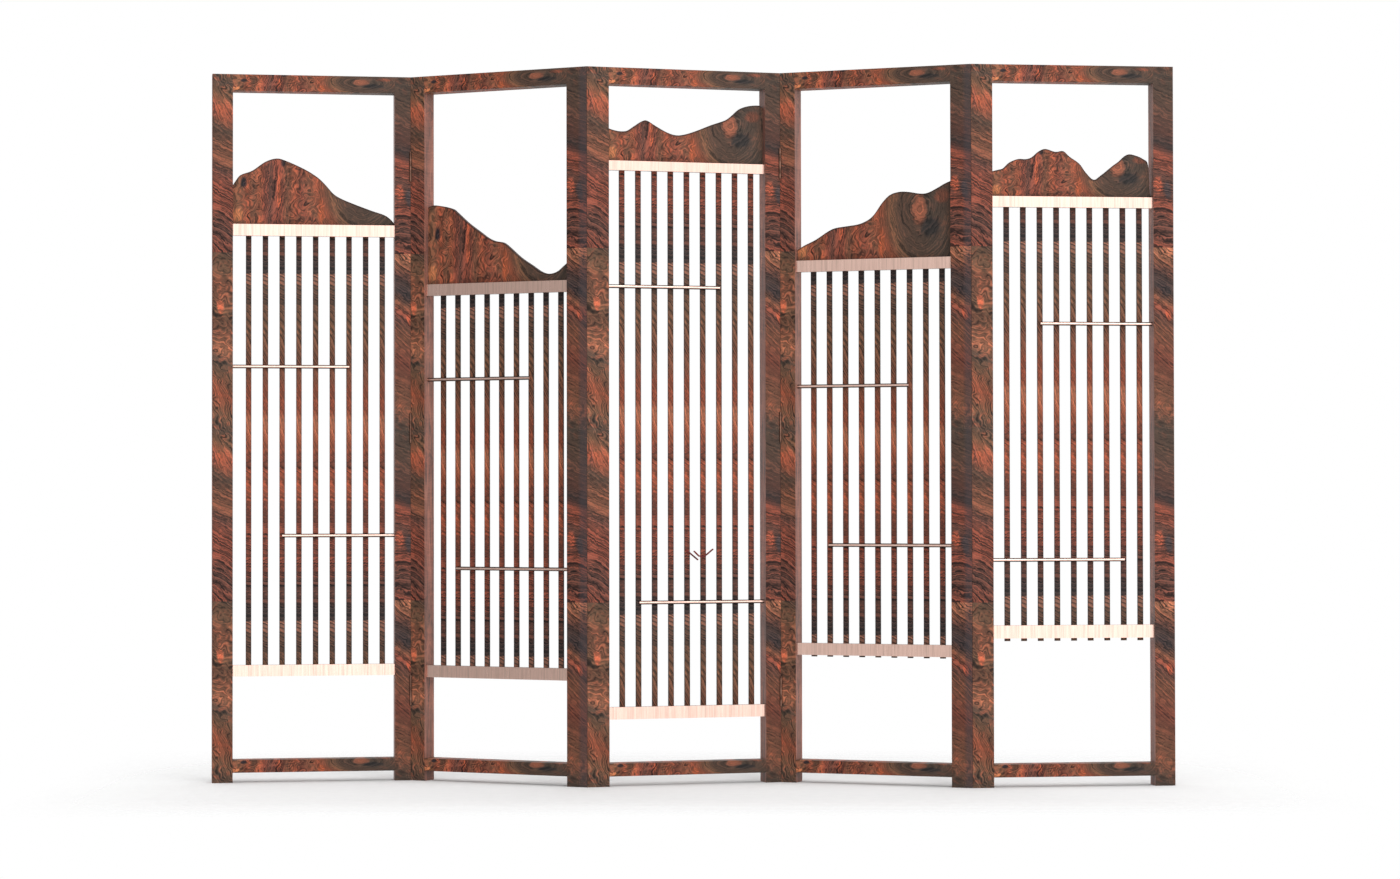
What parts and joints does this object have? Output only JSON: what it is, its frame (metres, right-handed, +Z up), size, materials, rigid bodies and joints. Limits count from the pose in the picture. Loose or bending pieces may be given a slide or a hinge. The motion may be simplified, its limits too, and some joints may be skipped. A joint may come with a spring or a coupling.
{
  "type": "folding screen",
  "caption": "Free-standing folding screen: rosewood frames joined by butt hinges, upright slats held by metal cross bands and rods, and boards cut to mountain ridges.",
  "frame": {"origin": "Middle of the footprint's box on the floor, with the screen standing folded as in the picture.", "axes": "+X runs to the right along the length of the screen, +Y runs away from the viewer to the back, +Z is up; the front faces -Y."},
  "size_m": [2.4319, 0.306, 1.8],
  "materials": {
    "rosewood_frame": "figured rosewood burl, semi-gloss lacquer",
    "rosewood_infill": "figured rosewood, semi-gloss lacquer",
    "champagne_metal": "brushed champagne gold",
    "antique_bronze": "darkened antique bronze",
    "steel_screws": "bronzed steel"
  },
  "bodies": {
    "panel_1": {"panel1_left_stile": "rosewood_frame", "panel1_right_stile": "rosewood_frame", "panel1_top_rail": "rosewood_frame", "panel1_bottom_rail": "rosewood_frame", "panel1_mountain_board": "rosewood_infill", "panel1_cross_bands": "champagne_metal", "panel1_slats": "rosewood_infill", "panel1_rods": "champagne_metal", "panel1_screws": "steel_screws", "fold1_left_leaves": "antique_bronze"},
    "panel_2": {"panel2_left_stile": "rosewood_frame", "panel2_right_stile": "rosewood_frame", "panel2_top_rail": "rosewood_frame", "panel2_bottom_rail": "rosewood_frame", "panel2_mountain_board": "rosewood_infill", "panel2_cross_bands": "champagne_metal", "panel2_slats": "rosewood_infill", "panel2_rods": "champagne_metal", "panel2_screws": "steel_screws", "fold1_right_leaves": "antique_bronze", "fold1_hinge_pins": "antique_bronze", "fold2_left_leaves": "antique_bronze"},
    "panel_3": {"panel3_left_stile": "rosewood_frame", "panel3_right_stile": "rosewood_frame", "panel3_top_rail": "rosewood_frame", "panel3_bottom_rail": "rosewood_frame", "panel3_mountain_board": "rosewood_infill", "panel3_cross_bands": "champagne_metal", "panel3_slats": "rosewood_infill", "panel3_rods": "champagne_metal", "panel3_screws": "steel_screws", "panel3_birds": "rosewood_infill", "fold2_right_leaves": "antique_bronze", "fold2_hinge_pins": "antique_bronze", "fold3_left_leaves": "antique_bronze", "fold3_hinge_pins": "antique_bronze"},
    "panel_4": {"panel4_left_stile": "rosewood_frame", "panel4_right_stile": "rosewood_frame", "panel4_top_rail": "rosewood_frame", "panel4_bottom_rail": "rosewood_frame", "panel4_mountain_board": "rosewood_infill", "panel4_cross_bands": "champagne_metal", "panel4_slats": "rosewood_infill", "panel4_rods": "champagne_metal", "panel4_screws": "steel_screws", "fold3_right_leaves": "antique_bronze", "fold4_left_leaves": "antique_bronze", "fold4_hinge_pins": "antique_bronze"},
    "panel_5": {"panel5_left_stile": "rosewood_frame", "panel5_right_stile": "rosewood_frame", "panel5_top_rail": "rosewood_frame", "panel5_bottom_rail": "rosewood_frame", "panel5_mountain_board": "rosewood_infill", "panel5_cross_bands": "champagne_metal", "panel5_slats": "rosewood_infill", "panel5_rods": "champagne_metal", "panel5_screws": "steel_screws", "fold4_right_leaves": "antique_bronze"}
  },
  "joints": [
    {"name": "fold_2", "type": "hinge", "parent": "panel_3", "child": "panel_2", "pos_m": [-0.24945, -0.06495, 0.9], "axis": [0, 0, -1], "range_deg": [0, 135.5]},
    {"name": "fold_1", "type": "hinge", "parent": "panel_2", "child": "panel_1", "pos_m": [-0.71212, 0.10223, 0.9], "axis": [0, 0, 1], "range_deg": [0, 143]},
    {"name": "fold_3", "type": "hinge", "parent": "panel_3", "child": "panel_4", "pos_m": [0.23281, 0.02843, 0.9], "axis": [0, 0, -1], "range_deg": [0, 140]},
    {"name": "fold_4", "type": "hinge", "parent": "panel_4", "child": "panel_5", "pos_m": [0.70964, -0.10289, 0.9], "axis": [0, 0, 1], "range_deg": [0, 149.5]}
  ]
}
